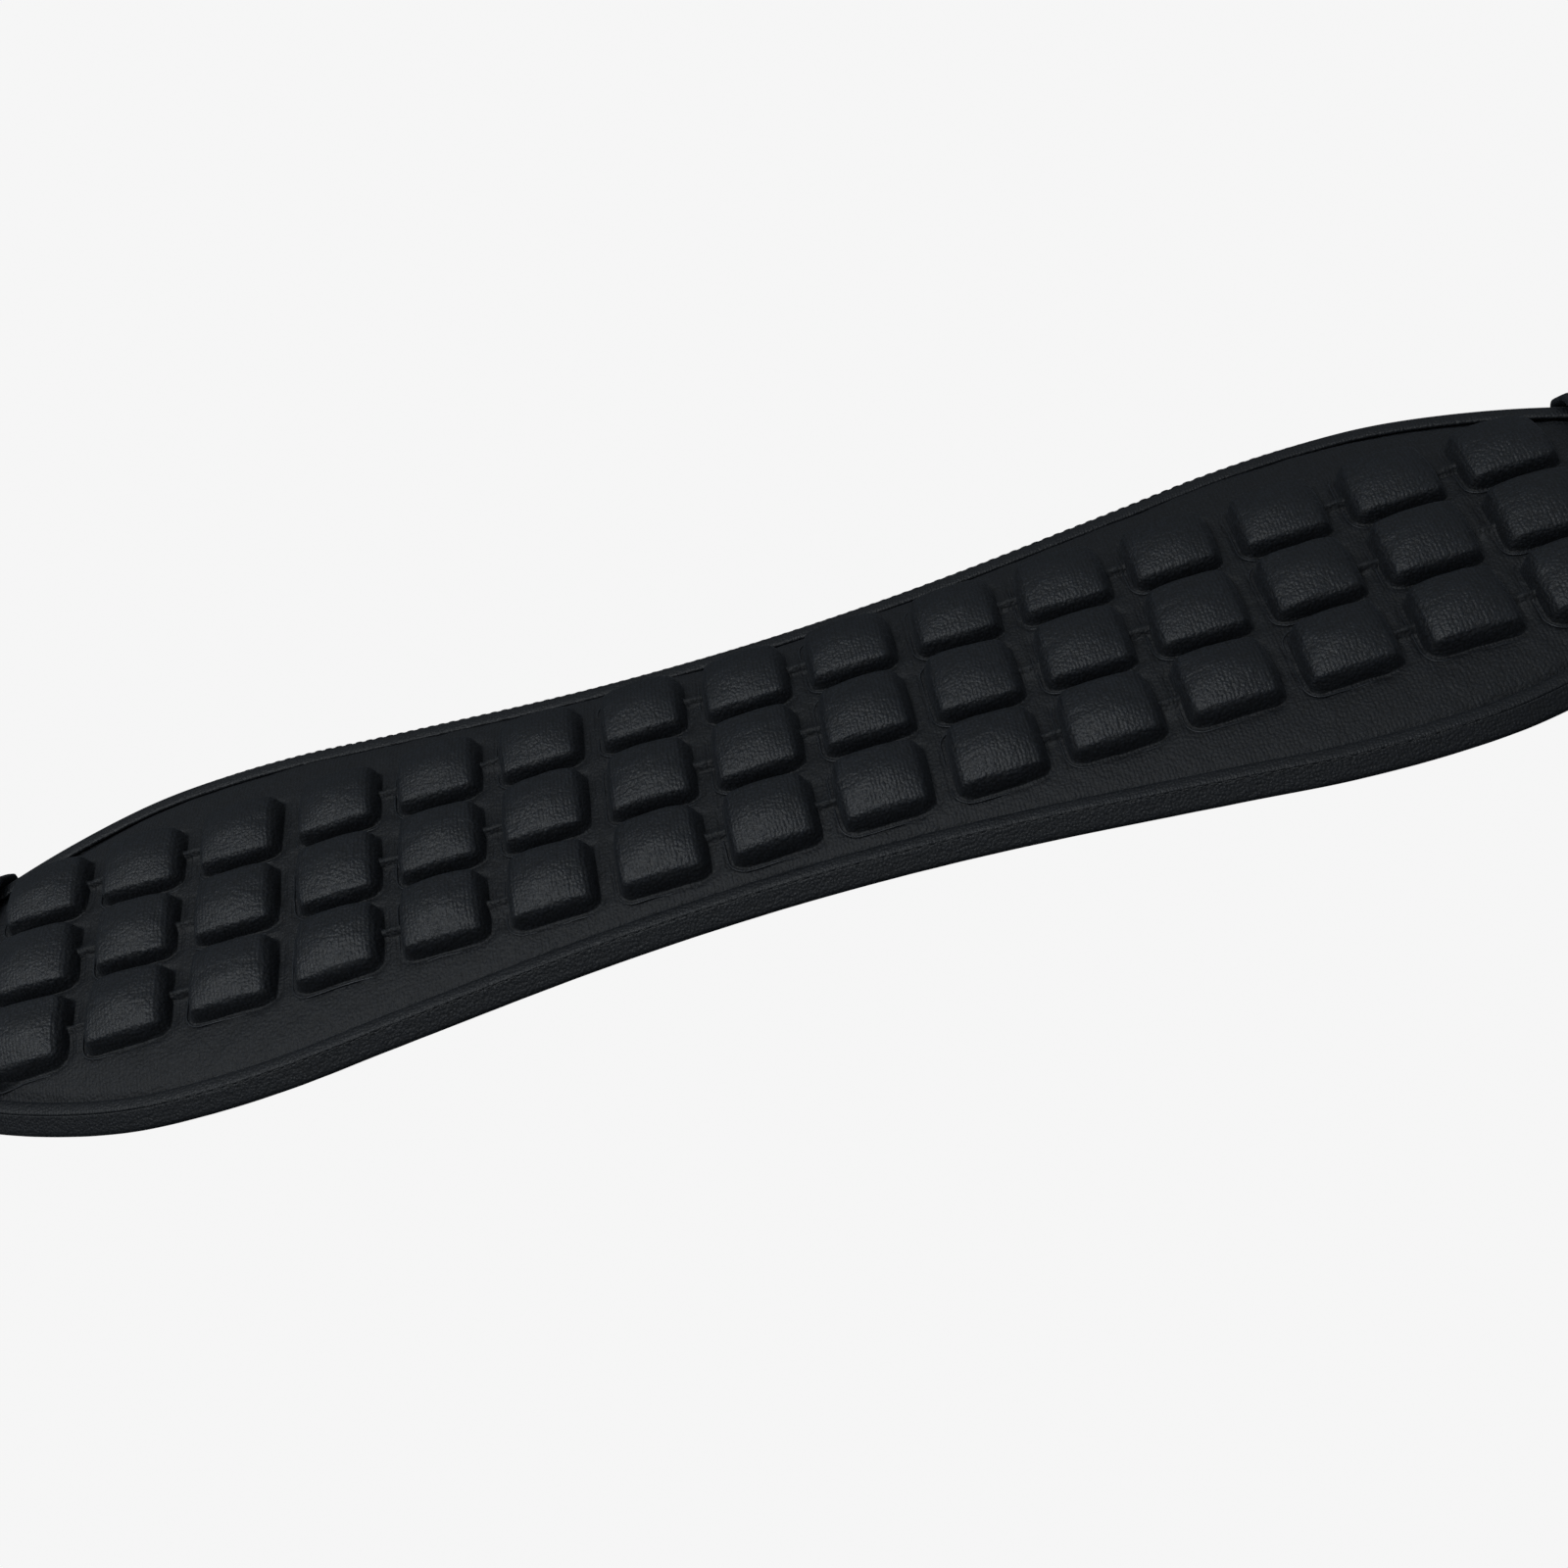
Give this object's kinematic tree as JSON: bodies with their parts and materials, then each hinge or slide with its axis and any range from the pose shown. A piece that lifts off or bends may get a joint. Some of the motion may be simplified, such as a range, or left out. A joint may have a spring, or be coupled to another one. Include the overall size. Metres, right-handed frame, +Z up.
{
  "type": "padded wrist rest",
  "caption": "Hourglass-shaped padded wrist rest whose knit cover holds rows of raised air cells, with a corded edge, sewn end caps and a non-slip underside.",
  "frame": {"origin": "centre of the bounding box, on the surface that the rest lies on", "axes": "+X along the length, +Y across the width towards the far side, +Z up out of the air cells"},
  "size_m": [0.4206, 0.0954, 0.0133],
  "materials": {
    "cover_fabric": "fine matt knit with a slight sheen, near-black charcoal",
    "edge_fabric": "matt woven binding over a filler cord",
    "cap_fabric": "dense woven fabric, folded and sewn",
    "back_fabric": "plain matt lining fabric",
    "grip_rubber": "matt moulded rubber sheet with a fine raised dot pattern",
    "support_foam": "firm closed-cell foam sheet",
    "comfort_foam": "soft open-cell foam",
    "air_film": "thin smooth welded plastic film",
    "thread": "twisted sewing thread"
  },
  "bodies": {
    "root": {"grip_base": "grip_rubber", "back_cover": "back_fabric", "support_foam": "support_foam", "comfort_foam": "comfort_foam", "side_band": "edge_fabric", "edge_piping": "edge_fabric", "edge_seam_thread": "thread", "top_cover": "cover_fabric", "air_module_1_upper_film": "air_film", "air_module_1_lower_film": "air_film", "air_module_2_upper_film": "air_film", "air_module_2_lower_film": "air_film", "air_module_3_upper_film": "air_film", "air_module_3_lower_film": "air_film", "air_module_4_upper_film": "air_film", "air_module_4_lower_film": "air_film", "air_module_5_upper_film": "air_film", "air_module_5_lower_film": "air_film", "end_cap_right": "cap_fabric", "end_cap_left": "cap_fabric", "end_cap_seam_right": "thread", "end_cap_seam_left": "thread"}
  },
  "joints": []
}
